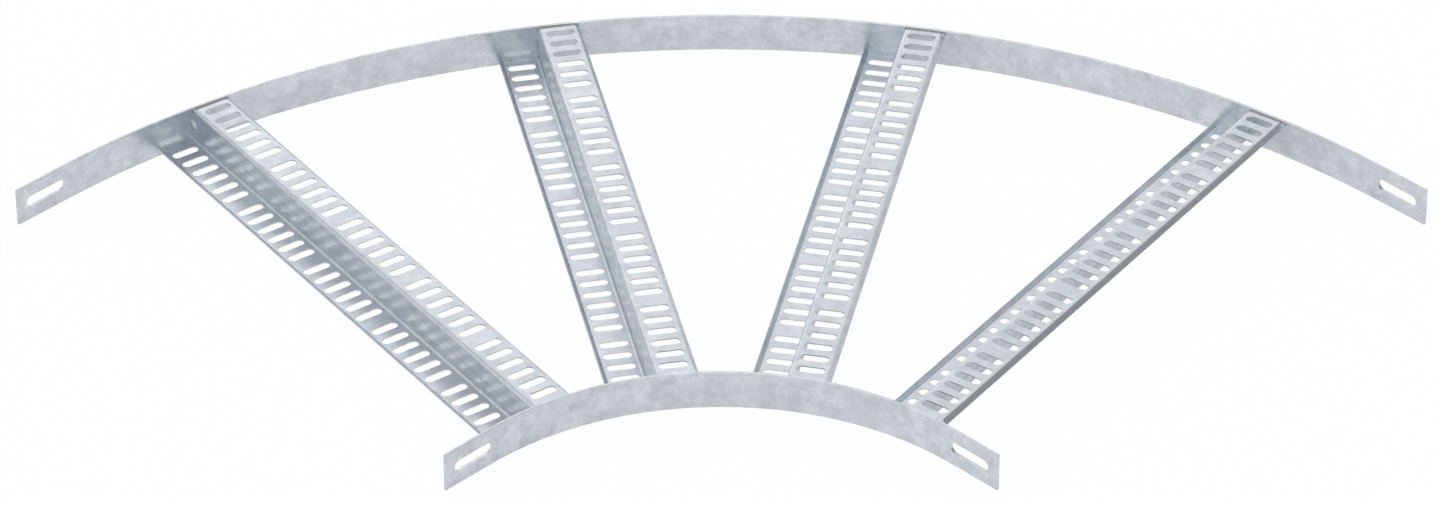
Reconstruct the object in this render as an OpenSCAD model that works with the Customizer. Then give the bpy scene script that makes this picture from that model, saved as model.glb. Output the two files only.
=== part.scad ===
// Flat 90 degree bend for a cable ladder: two curved flat-bar rails joined by slotted Z-section rungs.
// Millimetres. The bend lies on z = 0 and its overall box is centred on x = 0, y = 0.
// One end faces -Y and the other faces -X, so both quarter-circle rails open towards -X -Y.

/* [Bend] */
// Radius of the inner rail's inside face
bend_r = 300; // [150:5:900]
// Clear width between the two rails
clear_w = 600; // [150:5:900]
// Straight length at each end of both rails
end_len = 58.5; // [40:0.5:200]

/* [Rails] */
// Height of the flat bar, on edge
rail_h = 40; // [30:1:120]
// Thickness of the flat bar
rail_t = 3; // [2:0.25:8]
// Rounding of the bar's long edges
rail_edge_r = 0.4; // [0.1:0.1:0.9]

/* [Joint slots] */
// Width of the slot in each rail end
joint_slot_w = 12; // [6:0.5:18]
// Overall length of the slot
joint_slot_l = 48; // [20:0.5:60]
// From the rail's end to the near end of the slot
joint_slot_edge = 11.25; // [6:0.25:40]

/* [Rungs] */
// Angle from each end of the curve to the nearest rung
first_rung_angle = 10; // [6:0.5:14]
// Sheet thickness of the rungs
rung_t = 1.25; // [1:0.05:2]
// How far the rungs sit in from the rails' top and bottom edges
rung_inset = 1.25; // [0.5:0.25:4]
// Flange width, from the middle of the web to the fold of the lip
flange_w = 37.2; // [34:0.2:45]
// Inside radius of the bends between web and flanges
web_bend_r = 2.5; // [1:0.25:3]
// Length of the slanted lip, from its fold to its tip
lip_l = 5.8; // [3:0.2:10]
// Slope of the lip
lip_angle = 45; // [20:1:70]
// Inside radius of the lip's fold
lip_bend_r = 1.5; // [0.5:0.25:3]
// Gap that the weld closes between a rung's web and the rail
weld_gap = 0.1; // [0.05:0.05:0.5]
// Clearance from the tip of the upper lip to the outer rail, which web and lower flange reach
flange_relief = 2; // [0.5:0.5:8]
// Height of the drain notch in the outer end of the web
drain_notch_w = 9.5; // [5:0.5:14]
// From the web's outer end to the middle of the notch's round end
drain_notch_l = 1.5; // [0.5:0.5:6]

/* [Rung slots] */
// Width of a slot, along the rung
slot_w = 9.7; // [5:0.1:11]
// Overall length of a slot, across the flange
slot_l = 28.3; // [15:0.1:30]
// Distance between neighbouring slots of a group, middle to middle
slot_pitch = 18.5; // [13:0.5:30]
// Distance from the last slot of a group to the first of the next, middle to middle
group_gap = 27.5; // [19:0.5:60]
// Least metal between the end slots and the ends of the flanges
slot_margin = 5; // [3:0.5:9]

/* [Part] */
// Piece to show

/* [Hidden] */
zinc = [0.72, 0.74, 0.77];
zinc_light = [0.78, 0.80, 0.82];
turn = 90;
rungs = 4;
slots_in_group = 6;

// Rounds a length to whole microns, so that neighbouring outlines meet exactly
function micron(x) = round(x * 1000) / 1000;

// Rail faces, as radii from the centre of the bend
inner_back = bend_r + rail_t;
outer_face = inner_back + clear_w;
outer_back = outer_face + rail_t;
// From the centre of the bend to the middle of the overall box, in X and in Y
box_mid = (outer_back - end_len) / 2;

rung_step = (turn - 2 * first_rung_angle) / (rungs - 1);
rung_h = rail_h - 2 * rung_inset;
web_bend_out = web_bend_r + rung_t;
lip_bend_out = lip_bend_r + rung_t;
// Length that the lip's fold takes from the flange and from the lip
lip_setback = lip_bend_out * tan(lip_angle / 2);
flat_start = web_bend_out - rung_t / 2;
flat_end = micron(flange_w - lip_setback);

// Both ends are cut square: web and lower flange meet both rails, and the upper flange stops short
half_w = flange_w + lip_l * cos(lip_angle);
rung_start = inner_back + weld_gap;
lip_reach = sqrt(pow(outer_face, 2) - pow(half_w, 2));
flange_end = micron(lip_reach - flange_relief);
lower_end = micron(lip_reach - weld_gap);
web_end = outer_face - weld_gap;

// The slots sit in the middle of the flat of each flange and of the rung's length
slot_mid = (flat_start + flat_end) / 2;
group_w = (slots_in_group - 1) * slot_pitch;
group_pitch = group_w + group_gap;
rung_mid = (inner_back + outer_face) / 2;
slot_room = 2 * (flange_end - rung_mid - slot_margin);
groups = max(1, floor((slot_room - slot_w + group_gap) / group_pitch));
first_slot = rung_mid - (groups * group_pitch - group_gap) / 2;
cut = 1;
$fn = 120;

// A slot outline with round ends, along X
module slot_outline(l, w) {
    square([l - w, w], center = true);
    for (s = [-1, 1]) translate([s * (l - w) / 2, 0]) circle(d = w);
}

// The flat bar's section: inside face on x = 0, bottom on y = 0
module bar_section() {
    r = rail_edge_r;
    translate([r, 0]) square([rail_t - 2 * r, rail_h]);
    translate([0, r]) square([rail_t, rail_h - 2 * r]);
    for (x = [r, rail_t - r], y = [r, rail_h - r]) translate([x, y]) circle(r);
}

// The straight end of a rail on the X side, with its inside face on x = radius
module straight_end(radius) {
    translate([radius, 0, 0]) rotate([90, 0, 0]) linear_extrude(end_len) bar_section();
}

// Cutter for the joint slot of the same end
module joint_slot(radius) {
    translate([radius - cut, joint_slot_edge + joint_slot_l / 2 - end_len, rail_h / 2])
        rotate([90, 0, 90]) linear_extrude(rail_t + 2 * cut) slot_outline(joint_slot_l, joint_slot_w);
}

// Turns what is made for the X end into the same thing for the Y end
module to_y_end() {
    mirror([1, -1, 0]) children();
}

// One rail: a quarter turn of the bar, a straight end on each side and a slot in each end
module rail(radius) {
    difference() {
        union() {
            rotate_extrude(angle = turn, $fn = 240) translate([radius, 0]) bar_section();
            straight_end(radius);
            to_y_end() straight_end(radius);
        }
        joint_slot(radius);
        to_y_end() joint_slot(radius);
    }
}

// Half of the rung's section: bottom bend, flange and lip, with the web on x = 0 and the bottom on y = 0
module half_section() {
    translate([flat_start, web_bend_out]) intersection() {
        difference() {
            circle(web_bend_out);
            circle(web_bend_r);
        }
        translate([-web_bend_out, -web_bend_out]) square(web_bend_out);
    }
    translate([flat_start, 0]) square([flat_end - flat_start, rung_t]);
    translate([flat_end, lip_bend_out]) {
        intersection() {
            difference() {
                circle(lip_bend_out);
                circle(lip_bend_r);
            }
            translate([0, -lip_bend_out]) square(lip_bend_out);
            rotate(lip_angle) translate([-lip_bend_out, -lip_bend_out]) square(lip_bend_out);
        }
        rotate(lip_angle) translate([0, -lip_bend_out]) square([lip_l - lip_setback, rung_t]);
    }
}

// The whole Z section, the same when it is turned half round
module rung_section() {
    translate([-rung_t / 2, web_bend_out]) square([rung_t, rung_h - 2 * web_bend_out]);
    half_section();
    translate([0, rung_h]) rotate(180) half_section();
}

// All the slots of one flange, cut down through it; side is 1 for the lower flange and -1 for the upper
module flange_slots(side, bottom) {
    translate([0, side * slot_mid, bottom - cut]) linear_extrude(rung_t + 2 * cut)
        for (g = [0 : groups - 1], i = [0 : slots_in_group - 1])
            translate([first_slot + g * group_pitch + i * slot_pitch, 0])
                rotate(90) slot_outline(slot_l, slot_w);
}

// The end of the web, which reaches past the upper flange to the outer rail
module web_tongue() {
    translate([flange_end - rung_t, -rung_t / 2, web_bend_out])
        cube([web_end - flange_end + rung_t, rung_t, rung_h - 2 * web_bend_out]);
}

// The end of the lower flange, which does the same
module lower_tongue() {
    translate([flange_end - rung_t, 0, 0]) rotate([90, 0, 90])
        linear_extrude(lower_end - flange_end + rung_t) half_section();
}

// Cutter for the notch in the middle of the web's outer end, where zinc and water drain out
module drain_notch() {
    translate([web_end - drain_notch_l, rung_t / 2 + cut, rung_h / 2]) rotate([90, 0, 0])
        linear_extrude(rung_t + 2 * cut) {
            circle(d = drain_notch_w);
            translate([0, -drain_notch_w / 2]) square([drain_notch_l + cut, drain_notch_w]);
        }
}

// One rung along X, raised by its inset
module rung() {
    translate([0, 0, rung_inset]) difference() {
        union() {
            translate([rung_start, 0, 0]) rotate([90, 0, 90])
                linear_extrude(flange_end - rung_start) rung_section();
            web_tongue();
            lower_tongue();
        }
        flange_slots(1, 0);
        flange_slots(-1, rung_h - rung_t);
        drain_notch();
    }
}

module place() {
    translate([-box_mid, -box_mid, 0]) children();
}

module rung_at(number) {
    color(zinc_light) place() rotate(first_rung_angle + (number - 1) * rung_step) rung();
}

module outer_rail() {
    color(zinc) place() rail(outer_face);
}

module inner_rail() {
    color(zinc) place() rail(bend_r);
}

module rung_1() {
    rung_at(1);
}

module rung_2() {
    rung_at(2);
}

module rung_3() {
    rung_at(3);
}

module rung_4() {
    rung_at(4);
}

outer_rail();
inner_rail();
rung_1();
rung_2();
rung_3();
rung_4();
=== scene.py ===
# %% [markdown]
# # A flat bend for a cable ladder
#
# Cables in a plant room or on a ship lie on ladders: two steel rails with rungs between them. This
# piece turns such a ladder through 90 degrees without leaving its plane. Its rails are flat bars
# rolled to a quarter circle, and its four rungs are folded from thin slotted sheet.
#
# The main shapes come ready from the CAD model. What is left for Blender is the finish, the weld
# seams, the light and the camera, so this lesson is mostly about making bare zinc look like zinc.

# %% Load the CAD model
import math

import bmesh
import bpy
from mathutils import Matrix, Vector


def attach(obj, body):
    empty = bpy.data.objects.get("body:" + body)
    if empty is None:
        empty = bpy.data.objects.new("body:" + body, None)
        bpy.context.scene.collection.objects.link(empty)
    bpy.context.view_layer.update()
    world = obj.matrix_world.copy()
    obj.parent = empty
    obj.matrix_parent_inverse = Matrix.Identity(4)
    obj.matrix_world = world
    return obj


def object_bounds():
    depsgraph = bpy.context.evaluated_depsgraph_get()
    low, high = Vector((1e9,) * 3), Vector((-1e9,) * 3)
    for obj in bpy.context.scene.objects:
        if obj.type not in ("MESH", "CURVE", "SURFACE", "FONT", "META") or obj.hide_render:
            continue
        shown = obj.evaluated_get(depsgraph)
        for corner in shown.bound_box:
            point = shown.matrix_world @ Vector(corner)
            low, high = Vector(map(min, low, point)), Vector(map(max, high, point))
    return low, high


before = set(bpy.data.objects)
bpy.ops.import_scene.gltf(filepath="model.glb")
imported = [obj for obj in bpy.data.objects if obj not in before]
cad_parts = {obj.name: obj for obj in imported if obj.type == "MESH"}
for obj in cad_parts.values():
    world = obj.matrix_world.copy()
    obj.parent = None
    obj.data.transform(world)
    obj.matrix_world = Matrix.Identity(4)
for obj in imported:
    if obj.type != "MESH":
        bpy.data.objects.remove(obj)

cad_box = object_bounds()
print("CAD pieces:", sorted(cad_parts))

# %% [markdown]
# ## Lengths and colours
#
# Blender works in metres and in linear light. A maker thinks in millimetres, and colours are picked
# on a screen as sRGB hex values, so small functions translate. With them, every size and colour
# further down can be read as it would be written on a drawing.

# %% Millimetres and hex colours
MM_PER_METRE = 1000


def mm(length):
    """A length in millimetres, as Blender wants it."""
    return length / MM_PER_METRE


def size_in_mm(box):
    """Length, width and height of a box that is given by two corners."""
    return [round((high - low) * MM_PER_METRE, 1) for low, high in zip(*box)]


def linear(hex_colour):
    """An sRGB hex colour as red, green, blue and alpha in linear light."""
    channels = [int(hex_colour[i:i + 2], 16) / 255 for i in (1, 3, 5)]
    return [c / 12.92 if c <= 0.04045 else ((c + 0.055) / 1.055) ** 2.4 for c in channels] + [1.0]


print("overall size in mm:", size_in_mm(cad_box))
print("mid grey #808080 is", round(linear("#808080")[0], 3), "in linear light")

# %% [markdown]
# ## The camera
#
# The photograph was taken from in front of the open side of the bend, about 35 degrees above the
# floor, and from far away: the rails hardly taper. A long lens at a long distance gives that. The
# place and the lens were worked out from the curves of the rails, whose plan is an exact quarter
# circle, so the render can be laid over the photograph.

# %% Set the camera
HEADING = -math.pi / 4          # looks along +X +Y, into the open side of the bend
PITCH = 0.615395                # radians below the horizon
CAMERA_PLACE = Vector((mm(-4146.27), mm(-4146.27), mm(4111.16)))
LENS_MM, SENSOR_MM = 184.45, 36

camera_data = bpy.data.cameras.new("photo_camera")
camera_data.sensor_fit = "HORIZONTAL"
camera_data.sensor_width = SENSOR_MM
camera_data.lens = LENS_MM
camera = bpy.data.objects.new("photo_camera", camera_data)
camera.location = CAMERA_PLACE
camera.rotation_euler = (math.pi / 2 - PITCH, 0, HEADING)
bpy.context.scene.collection.objects.link(camera)
bpy.context.scene.camera = camera
print("camera", round(CAMERA_PLACE.length, 2), "m from the middle of the bend")

# %% [markdown]
# ## One helper for all nodes
#
# A material is a small network of nodes. Adding a node, setting it up and linking it takes several
# lines each time, so one function does all three: its feeds are either plain values or the output
# of an earlier node. Patterns are sized in millimetres as well, and a second function turns such a
# size into a texture's scale.

# %% Add a node
def add_node(tree, kind, feeds=None, **settings):
    node = tree.nodes.new(kind)
    for name, value in settings.items():
        setattr(node, name, value)
    for name, value in (feeds or {}).items():
        if isinstance(value, bpy.types.NodeSocket):
            tree.links.new(value, node.inputs[name])
        else:
            node.inputs[name].default_value = value
    return node


def per_metre(size_mm):
    """Scale of a texture whose features are that many millimetres across."""
    return 1 / mm(size_mm)


print("a 25 mm pattern has a texture scale of", per_metre(25))

# %% [markdown]
# ## The pattern of the zinc
#
# The finished ladder is dipped in molten zinc. The zinc freezes in crystals, the spangle, which
# soon dull to soft clouds: light blue-grey with paler wisps, a few centimetres across. The steel
# under it doesn't show.
#
# A photograph of zinc could be wrapped round the pieces, but a pattern made of noise has no seams
# and can be tuned. Three layers give each spot its brightness: wide clouds, the smaller spangle, and
# thin pale wisps where two clouds meet.

# %% Draw clouds, spangle and wisps
CLOUD_SHARE, SPANGLE_SHARE, WISP_SHARE = 0.55, 0.3, 0.25        # of the way from dull to pale zinc
CLOUD_NOISE = (0.3, 0.7)        # nearly all of the noise lies between these values
NOISE_MIDDLE = 0.5
WISP_SIZE, WISP_WIDTH = 0.7, 0.06       # beside the size of a cloud, and as a step of the noise


def clouds(tree, place, cloud_mm):
    noise = add_node(tree, "ShaderNodeTexNoise", {
        "Vector": place, "Scale": per_metre(cloud_mm), "Detail": 3.0, "Roughness": 0.55,
        "Distortion": 0.6}).outputs["Fac"]
    return add_node(tree, "ShaderNodeMapRange", {
        "Value": noise, "From Min": CLOUD_NOISE[0], "From Max": CLOUD_NOISE[1],
        "To Min": 0.0, "To Max": CLOUD_SHARE}).outputs["Result"]


def spangle(tree, place, spangle_mm):
    """Crystals: cells of random brightness, with outlines bent so that no straight edge shows."""
    bend = add_node(tree, "ShaderNodeTexNoise", {
        "Vector": place, "Scale": per_metre(spangle_mm), "Detail": 2.0}).outputs["Color"]
    bent = add_node(tree, "ShaderNodeVectorMath", {
        0: bend, 1: [mm(spangle_mm)] * 3, 2: place}, operation="MULTIPLY_ADD").outputs["Vector"]
    crystals = add_node(tree, "ShaderNodeTexVoronoi", {
        "Vector": bent, "Scale": per_metre(spangle_mm), "Smoothness": 0.5}, feature="SMOOTH_F1")
    cell = add_node(tree, "ShaderNodeSeparateColor", {
        "Color": crystals.outputs["Color"]}).outputs["Red"]
    return add_node(tree, "ShaderNodeMath", {
        0: cell, 1: SPANGLE_SHARE}, operation="MULTIPLY").outputs[0]


def wisps(tree, place, cloud_mm):
    """Pale lines where another noise crosses its middle value."""
    noise = add_node(tree, "ShaderNodeTexNoise", {
        "Vector": place, "Scale": per_metre(cloud_mm * WISP_SIZE), "Detail": 4.0, "Roughness": 0.6,
        "Distortion": 1.0}).outputs["Fac"]
    from_middle = add_node(tree, "ShaderNodeMath", {
        0: noise, 1: NOISE_MIDDLE}, operation="SUBTRACT").outputs[0]
    distance = add_node(tree, "ShaderNodeMath", {0: from_middle}, operation="ABSOLUTE").outputs[0]
    return add_node(tree, "ShaderNodeMapRange", {
        "Value": distance, "From Min": 0.0, "From Max": WISP_WIDTH, "To Min": WISP_SHARE, "To Max": 0.0},
        interpolation_type="SMOOTHSTEP").outputs["Result"]


print("shares of clouds, spangle and wisps:", CLOUD_SHARE, SPANGLE_SHARE, WISP_SHARE)

# %% [markdown]
# ## Streaks on the webs
#
# The upright webs of the rungs have a fourth layer: fine streaks along the rung, where the zinc ran
# off as the ladder was lifted out of the bath at a slant. They are noise again, drawn out along the
# rung. The height of the surface's normal says how upright a face is, and the streaks fade with it,
# so that the flanges stay free of them and no mask has to be painted.

# %% Draw the streaks
STREAK_LENGTH_MM, STREAK_WIDTH_MM = 90, 3.5
STREAK_SHARE = 1.6              # of the way from dull to pale zinc, for the whole range of the noise
FADE_FROM, FADE_TO = 0.2, 0.6   # height of the normal where the streaks start to fade, and end


def run_off_streaks(tree, place, run):
    """Streaks along the direction run, an angle from X, on upright faces only."""
    along = add_node(tree, "ShaderNodeVectorRotate", {
        "Vector": place, "Angle": -run}, rotation_type="Z_AXIS").outputs["Vector"]
    scales = [per_metre(size) for size in (STREAK_LENGTH_MM, STREAK_WIDTH_MM, STREAK_WIDTH_MM)]
    drawn_out = add_node(tree, "ShaderNodeVectorMath", {
        0: along, 1: scales}, operation="MULTIPLY").outputs["Vector"]
    noise = add_node(tree, "ShaderNodeTexNoise", {
        "Vector": drawn_out, "Scale": 1.0, "Detail": 2.0}).outputs["Fac"]
    lines = add_node(tree, "ShaderNodeMath", {
        0: noise, 1: NOISE_MIDDLE}, operation="SUBTRACT").outputs[0]
    facing = add_node(tree, "ShaderNodeSeparateXYZ", {
        "Vector": add_node(tree, "ShaderNodeNewGeometry").outputs["Normal"]}).outputs["Z"]
    slope = add_node(tree, "ShaderNodeMath", {0: facing}, operation="ABSOLUTE").outputs[0]
    upright = add_node(tree, "ShaderNodeMapRange", {
        "Value": slope, "From Min": FADE_FROM, "From Max": FADE_TO,
        "To Min": STREAK_SHARE, "To Max": 0.0}).outputs["Result"]
    return add_node(tree, "ShaderNodeMath", {0: lines, 1: upright}, operation="MULTIPLY").outputs[0]


print("a streak is", round(STREAK_LENGTH_MM / STREAK_WIDTH_MM), "times as long as it is wide")

# %% [markdown]
# ## Hot-dip galvanised steel
#
# Zinc is a metal, so the shader is fully metallic with its default IOR, and everything else is in the
# colour, the roughness and a very slight unevenness. The layers are added up, and their sum picks a
# grey between dull and pale zinc. Another wide noise shifts the hue a little from place to place, and
# the paler crystals are also the smoother ones.

# %% Mix the zinc
TINT_SIZE, TINT_SHARE = 1.6, 0.5        # beside the size of a cloud, and at most how much of the tint
TINT_NOISE = (0.4, 0.7)         # the tint starts and is full at these values of the noise
GRAIN_MM = 3                    # the real grain is finer, and is drawn this coarse so that it shows
GRAIN_DEPTH_MM = 0.006


def hot_dip_zinc(name, dull, pale, tint, cloud_mm, spangle_mm, roughness, run=None):
    material = bpy.data.materials.new(name)
    material.use_nodes = True
    tree = material.node_tree
    tree.nodes.clear()
    place = add_node(tree, "ShaderNodeTexCoord").outputs["Object"]

    layers = [spangle(tree, place, spangle_mm), wisps(tree, place, cloud_mm)]
    if run is not None:
        layers.append(run_off_streaks(tree, place, run))
    total = clouds(tree, place, cloud_mm)
    for layer in layers:
        total = add_node(tree, "ShaderNodeMath", {0: total, 1: layer}, operation="ADD").outputs[0]
    brightness = add_node(tree, "ShaderNodeClamp", {"Value": total}).outputs["Result"]
    grey = add_node(tree, "ShaderNodeMix", {
        "Factor": brightness, 6: linear(dull), 7: linear(pale)}, data_type="RGBA").outputs[2]

    hue = add_node(tree, "ShaderNodeTexNoise", {
        "Vector": place, "Scale": per_metre(cloud_mm * TINT_SIZE), "Detail": 2.0}).outputs["Fac"]
    tinted = add_node(tree, "ShaderNodeMapRange", {
        "Value": hue, "From Min": TINT_NOISE[0], "From Max": TINT_NOISE[1],
        "To Min": 0.0, "To Max": TINT_SHARE}).outputs["Result"]
    zinc = add_node(tree, "ShaderNodeMix", {
        "Factor": tinted, 6: grey, 7: linear(tint)}, data_type="RGBA").outputs[2]

    smooth, rough = roughness
    gloss = add_node(tree, "ShaderNodeMapRange", {
        "Value": brightness, "From Min": 0.0, "From Max": 1.0,
        "To Min": rough, "To Max": smooth}).outputs["Result"]
    grain = add_node(tree, "ShaderNodeTexNoise", {
        "Vector": place, "Scale": per_metre(GRAIN_MM), "Detail": 3.0}).outputs["Fac"]
    uneven = add_node(tree, "ShaderNodeBump", {
        "Strength": 0.5, "Distance": mm(GRAIN_DEPTH_MM), "Height": grain}).outputs["Normal"]

    shader = add_node(tree, "ShaderNodeBsdfPrincipled", {
        "Base Color": zinc, "Metallic": 1.0, "Roughness": gloss, "Normal": uneven}).outputs["BSDF"]
    add_node(tree, "ShaderNodeOutputMaterial", {"Surface": shader})
    return material


# on the bars: cloudy blue-grey that mirrors softly, with no sharp highlight
zinc_on_bar = hot_dip_zinc(
    "hot_dip_zinc_on_flat_bar", dull="#BCC3CA", pale="#E2E8EC", tint="#D0D2DB",
    cloud_mm=24, spangle_mm=8, roughness=(0.22, 0.30))
print("the finish of the rails:", zinc_on_bar.name)

# %% [markdown]
# ## Give each piece its finish
#
# The rails are 3 mm bar and the rungs are thin sheet, and they leave the bath differently: the bar
# stays hot for longer, and its zinc freezes with more contrast between dull and pale. Each rung has a
# material of its own, because its streaks follow its own direction. The CAD objects keep their meshes,
# and only their material slots are filled.

# %% Fill the material slots
RUNGS = ("rung_1", "rung_2", "rung_3", "rung_4")
FIRST_RUNG, RUNG_STEP = math.radians(10), math.radians(70 / 3)     # angles from X

rung_turn = {rung: FIRST_RUNG + i * RUNG_STEP for i, rung in enumerate(RUNGS)}
# on the sheet: fainter clouds and a slightly softer mirror, with streaks on the webs
finishes = {
    rung: hot_dip_zinc(
        f"hot_dip_zinc_on_{rung}_sheet", dull="#BEC5CC", pale="#DCE2E8", tint="#CDD0D8",
        cloud_mm=24, spangle_mm=9, roughness=(0.24, 0.32), run=turn)
    for rung, turn in rung_turn.items()}
for name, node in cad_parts.items():
    finish = finishes.get(name, zinc_on_bar)
    for slot in node.material_slots:
        slot.material = finish
    print(name, "is", finish.name)

# %% [markdown]
# ## Where the rungs meet the rails
#
# The rungs are welded to the rails before the bath, so the seams have to follow the ends of the
# flanges and the curve of the rails. The places could be typed in, but the CAD objects hold them: the
# ends of the flanges are read from the corners of one rung, because all four are the same piece.

# %% Find the ends of the flanges
BEND_RADIUS_MM, CLEAR_WIDTH_MM, BAR_MM, SHEET_MM = 300, 600, 3, 1.25

inner_back = BEND_RADIUS_MM + BAR_MM            # radii of the rail faces that the rungs meet, in mm
outer_face = inner_back + CLEAR_WIDTH_MM
bend_centre = cad_box[1][0] * MM_PER_METRE - outer_face - BAR_MM        # in x and in y, in mm


def corners_along(rung):
    """The corners of a rung, in mm along it from the centre of the bend and above the floor."""
    node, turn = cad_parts[rung], rung_turn[rung]
    places = [node.matrix_world @ vertex.co * MM_PER_METRE for vertex in node.data.vertices]
    return [((place.x - bend_centre) * math.cos(turn) + (place.y - bend_centre) * math.sin(turn), place.z)
            for place in places]


corners = corners_along("rung_1")
upper_top = max(height for _, height in corners)
lower_top = min(height for _, height in corners) + SHEET_MM
upper_flange = [along for along, height in corners if height > upper_top - SHEET_MM]
lower_flange = [along for along, height in corners if height < lower_top]
print("upper flange from", round(min(upper_flange), 2), "to", round(max(upper_flange), 2), "mm")
print("lower flange from", round(min(lower_flange), 2), "to", round(max(lower_flange), 2), "mm")

# %% [markdown]
# ## The shape of a seam
#
# A seam lies along the outer end of each upper flange, where it climbs from the sheet on to the rail,
# and it is ribbed across because the welder feeds the wire in short strokes. The other ends of the
# flanges fit closer, and there the bath itself fills the gap with a smooth, flat fillet of zinc.
#
# A curve with a bevel would be quicker, but its section would be the same all along. Here each seam
# is a row of rings, and every ring can be as wide as the gap that it closes and swell a little with
# the strokes.

# %% Shape a seam
UPPER, LOWER = -1, 1                    # side of the web on which a flange lies
SEAM_FROM_MM, RING_STEP_MM = 1.5, 0.35  # from the middle of the web, and from ring to ring
RISE_MM, CROWN_MM, ROOT_MM = 0.75, 0.35, 0.9        # climb up the rail, swelling and depth
FILLET_CLIMB = 0.3                      # rise and swelling of a fillet, beside those of a weld
BITE_MM, SINK_MM = 0.4, 0.05            # how far a seam reaches into the rail and into the sheet
STROKE_MM, STROKE_DEPTH = 1.7, 0.12     # one stroke of the welder, and the valley between two
TAPER_MM, TIP = 1.5, 0.04               # length over which a seam starts and stops, and its blunt tip
RING_POINTS = 7


def on_bend(turn, along, across, height):
    """A place in Blender, from mm along a rung, across it and above the floor."""
    x = bend_centre + along * math.cos(turn) - across * math.sin(turn)
    y = bend_centre + along * math.sin(turn) + across * math.cos(turn)
    return mm(x), mm(y), mm(height)


def seam_ring(seam, across, fullness):
    """Points of one ring, in mm along the rung, across it and above the floor."""
    outward = 1 if seam["face"] > seam["end"] else -1
    sheet = seam["end"] - outward * seam["lap"]
    rail = math.sqrt(seam["face"] ** 2 - across ** 2) + outward * BITE_MM
    side, top = seam["side"] * across, seam["top"]
    climb = fullness * (1 if seam["welded"] else FILLET_CLIMB)
    ring = []
    for i in range(RING_POINTS):
        t = i / (RING_POINTS - 1)
        height = climb * (RISE_MM * t + CROWN_MM * math.sin(math.pi * t))
        ring.append((sheet + (rail - sheet) * t, side, top - SINK_MM + height))
    return ring + [(rail, side, top - ROOT_MM), (sheet, side, top - ROOT_MM * fullness)]


def lay_seam(bm, turn, seam, material_index):
    length = seam["across"] - SEAM_FROM_MM
    count = round(length / RING_STEP_MM)
    rings = []
    for j in range(count + 1):
        across = SEAM_FROM_MM + length * j / count
        stroke = 1 - STROKE_DEPTH * (1 - abs(math.sin(math.pi * across / STROKE_MM)))
        from_end = min(j, count - j) * RING_STEP_MM
        fullness = (stroke if seam["welded"] else 1) * math.sqrt(min(1, TIP + from_end / TAPER_MM))
        rings.append([bm.verts.new(on_bend(turn, *point)) for point in seam_ring(seam, across, fullness)])
    skin = []
    for near, far in zip(rings, rings[1:]):
        for i in range(len(near)):
            k = (i + 1) % len(near)
            skin.append(bm.faces.new((near[i], near[k], far[k], far[i])))
    for face in skin:
        face.smooth = True
    for face in skin + [bm.faces.new(rings[0]), bm.faces.new(rings[-1])]:
        face.material_index = material_index


print("a ring has", RING_POINTS + 2, "points")

# %% [markdown]
# ## Weld seams
#
# The welded seams are painted dark grey and matt, and this dark is painted shade: it stands in for the
# shade in the narrow gap between the end of each upper flange and the rail, so these seams are the
# darkest lines of the whole piece. The fillets are plain zinc and take the finish of their rung. The
# seams of one rung are one mesh with a material slot for each of the two.

# %% Lay the seams
UPPER_SEAM_MM, LOWER_SEAM_MM = 38, 36   # reach across the rung; below, the lip leaves less room
WELD_PAINTED_SHADE, FILLET = 0, 1                     # material slots
SEAMS = (                               # lap: how far a seam covers the end of the sheet, in mm
    dict(side=UPPER, end=max(upper_flange), face=outer_face, top=upper_top,
         across=UPPER_SEAM_MM, lap=0.5, welded=True),
    dict(side=UPPER, end=min(upper_flange), face=inner_back, top=upper_top,
         across=UPPER_SEAM_MM, lap=1.8, welded=False),
    dict(side=LOWER, end=max(lower_flange), face=outer_face, top=lower_top,
         across=LOWER_SEAM_MM, lap=1.2, welded=False),
    dict(side=LOWER, end=min(lower_flange), face=inner_back, top=lower_top,
         across=LOWER_SEAM_MM, lap=1.8, welded=False),
)

# on the welds: dark grey and matt, with small blotches; the dark grey is painted shade of the gap between
# the end of the upper flange and the rail
weld_painted_shade = hot_dip_zinc(
    "weld_seam_painted_shade", dull="#878A8D", pale="#A4A7AA", tint="#969696",
    cloud_mm=8, spangle_mm=4, roughness=(0.42, 0.55))
for rung, turn in rung_turn.items():
    bm = bmesh.new()
    for seam in SEAMS:
        # welded seams take the dark material with the painted shade, and fillets take the zinc of their
        # rung
        lay_seam(bm, turn, seam, WELD_PAINTED_SHADE if seam["welded"] else FILLET)
    bmesh.ops.recalc_face_normals(bm, faces=bm.faces)
    mesh = bpy.data.meshes.new(f"weld_seams_{rung}")
    bm.to_mesh(mesh)
    bm.free()
    mesh.materials.append(weld_painted_shade)
    mesh.materials.append(finishes[rung])
    seams = bpy.data.objects.new(mesh.name, mesh)
    bpy.context.scene.collection.objects.link(seams)
    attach(seams, "root")
    print(seams.name, "has", len(mesh.polygons), "faces")

# %% [markdown]
# ## A white studio
#
# Bare metal shows its surroundings more than itself, so the studio matters as much as the zinc.
# The picture has a white background with hardly a shadow. The floor is white paint under soft light,
# and for the camera it also glows by itself, almost to plain white, so that only a trace of the shadow
# is left. In what the metal mirrors the glow is weaker: the shade under the flanges has to stay, because
# it is what looks dark through the slots of the two rungs on the right.

# %% Lay the floor
FLOOR_MM = 60000
FLOOR_DROP_MM = 0.05            # a hair below the rails, so that no two faces coincide
FLOOR_GLOW_SEEN = 0.97          # share of glow in what the camera sees of the floor
FLOOR_GLOW_MIRRORED = 0.55      # and in what the metal mirrors of it

floor_mesh = bpy.data.meshes.new("studio_floor")
half = mm(FLOOR_MM / 2)
floor_mesh.from_pydata(
    [(-half, -half, 0), (half, -half, 0), (half, half, 0), (-half, half, 0)], [], [(0, 1, 2, 3)])
floor = bpy.data.objects.new("studio_floor", floor_mesh)
floor.location.z = cad_box[0][2] - mm(FLOOR_DROP_MM)
bpy.context.scene.collection.objects.link(floor)

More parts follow.
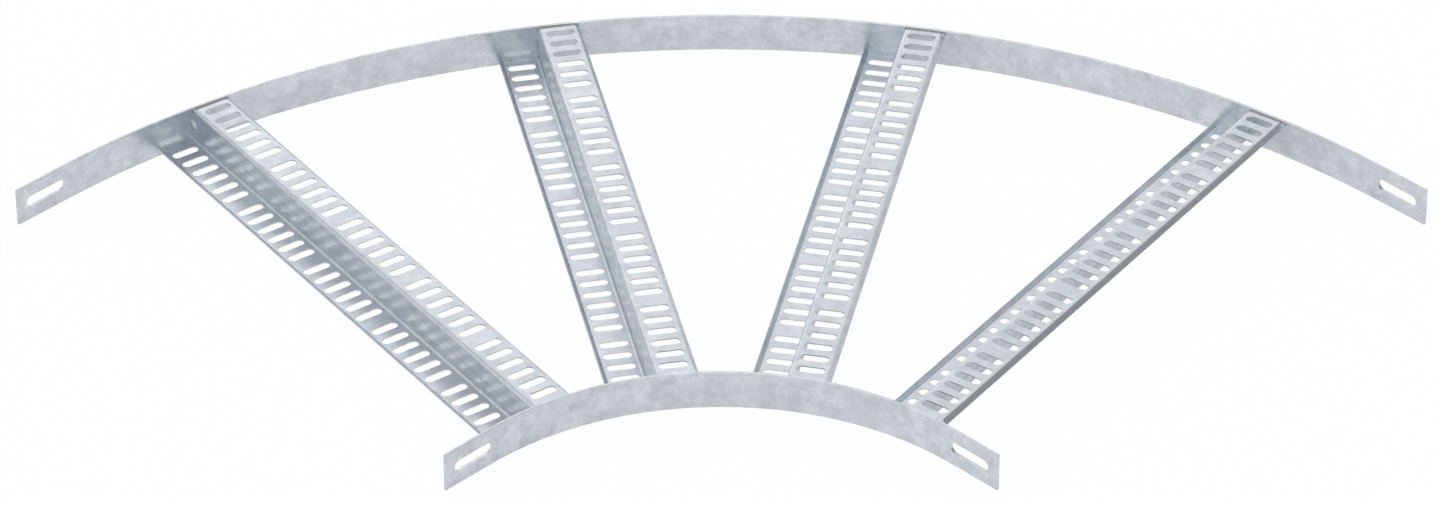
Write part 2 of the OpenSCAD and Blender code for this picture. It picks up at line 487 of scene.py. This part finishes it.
# matt white that keeps only a trace of the shadow
floor_paint = bpy.data.materials.new("white_floor_paint")
floor_paint.use_nodes = True
tree = floor_paint.node_tree
tree.nodes.clear()
path = add_node(tree, "ShaderNodeLightPath").outputs
mirrored = add_node(tree, "ShaderNodeMath", {
    0: path["Is Glossy Ray"], 1: path["Is Transmission Ray"]}, operation="MAXIMUM").outputs[0]
mirrored_share = add_node(tree, "ShaderNodeMath", {
    0: mirrored, 1: FLOOR_GLOW_MIRRORED}, operation="MULTIPLY").outputs[0]
glow_share = add_node(tree, "ShaderNodeMath", {
    0: path["Is Camera Ray"], 1: FLOOR_GLOW_SEEN, 2: mirrored_share}, operation="MULTIPLY_ADD").outputs[0]
paint = add_node(tree, "ShaderNodeBsdfDiffuse", {"Color": linear("#F4F4F4")}).outputs["BSDF"]
glow = add_node(tree, "ShaderNodeEmission", {"Color": linear("#FFFFFF"), "Strength": 1.0}).outputs[0]
surface = add_node(tree, "ShaderNodeMixShader", {0: glow_share, 1: paint, 2: glow}).outputs[0]
add_node(tree, "ShaderNodeOutputMaterial", {"Surface": surface})
floor_mesh.materials.append(floor_paint)
print("floor at", round(floor.location.z * MM_PER_METRE, 2), "mm")

# %% [markdown]
# ## Light from a tent
#
# Small lamps would draw hard streaks on the zinc. A tent of white cloth lights it evenly instead,
# and because every fold and lip of the rungs mirrors another part of it, the cloth gives them their
# shading. The wall on the left and the one behind the camera are lit, and the right side is left dim,
# which is what makes the lips on the far right so much darker than the rest. Three softer patches
# ahead of the camera brighten the tops of the flanges and the edges of the folds, and one overhead
# lights the floor and the weld seams.
#
# In Blender the tent is the world: a brightness for each direction. A patch is brightest along its
# own direction and fades smoothly towards its rim, and a wall does the same over the whole tent. The
# camera sees plain white there, as it does on the floor.

# %% Hang the tent
AHEAD = Vector((1, 1, 0)).normalized()              # as the camera sees it
TO_THE_RIGHT = Vector((1, -1, 0)).normalized()
CLOTH = 0.12                                        # brightness of the unlit cloth
WALL, PATCH = -1, 0.8                               # cosine of the angle at which the light ends
LIT_CLOTH = (                                       # degrees to the right, degrees up, brightness, rim
    (-90, 0, 0.56, WALL),
    (180, 0, 0.52, WALL),
    (180, 82, 0.80, PATCH),
    (0, 38, 0.47, PATCH),
    (-15, 12, 0.42, PATCH),
    (40, 12, 0.62, PATCH),
)

world = bpy.data.worlds.new("studio_tent")
bpy.context.scene.world = world
world.use_nodes = True
tree = world.node_tree
tree.nodes.clear()
direction = add_node(tree, "ShaderNodeTexCoord").outputs["Generated"]
seen = add_node(tree, "ShaderNodeLightPath").outputs["Is Camera Ray"]
strength = add_node(tree, "ShaderNodeMath", {0: seen, 1: CLOTH}, operation="ADD").outputs[0]
for right, up, brightness, rim in LIT_CLOTH:
    right, up = math.radians(right), math.radians(up)
    level = AHEAD * math.cos(right) + TO_THE_RIGHT * math.sin(right)
    aim = level * math.cos(up) + Vector((0, 0, math.sin(up)))
    nearness = add_node(tree, "ShaderNodeVectorMath", {
        0: direction, 1: aim}, operation="DOT_PRODUCT").outputs["Value"]
    light = add_node(tree, "ShaderNodeMapRange", {
        "Value": nearness, "From Min": rim, "From Max": 1.0, "To Min": 0.0, "To Max": brightness},
        interpolation_type="SMOOTHSTEP").outputs["Result"]
    strength = add_node(tree, "ShaderNodeMath", {0: strength, 1: light}, operation="ADD").outputs[0]
background = add_node(tree, "ShaderNodeBackground", {
    "Color": linear("#FFFFFF"), "Strength": strength}).outputs["Background"]
add_node(tree, "ShaderNodeOutputWorld", {"Surface": background})
print("the tent is lit in", len(LIT_CLOTH), "places")

# %% [markdown]
# ## Show it as it is
#
# The Standard view draws a colour as it was written.

# %% Set the view
bpy.context.scene.view_settings.view_transform = "Standard"
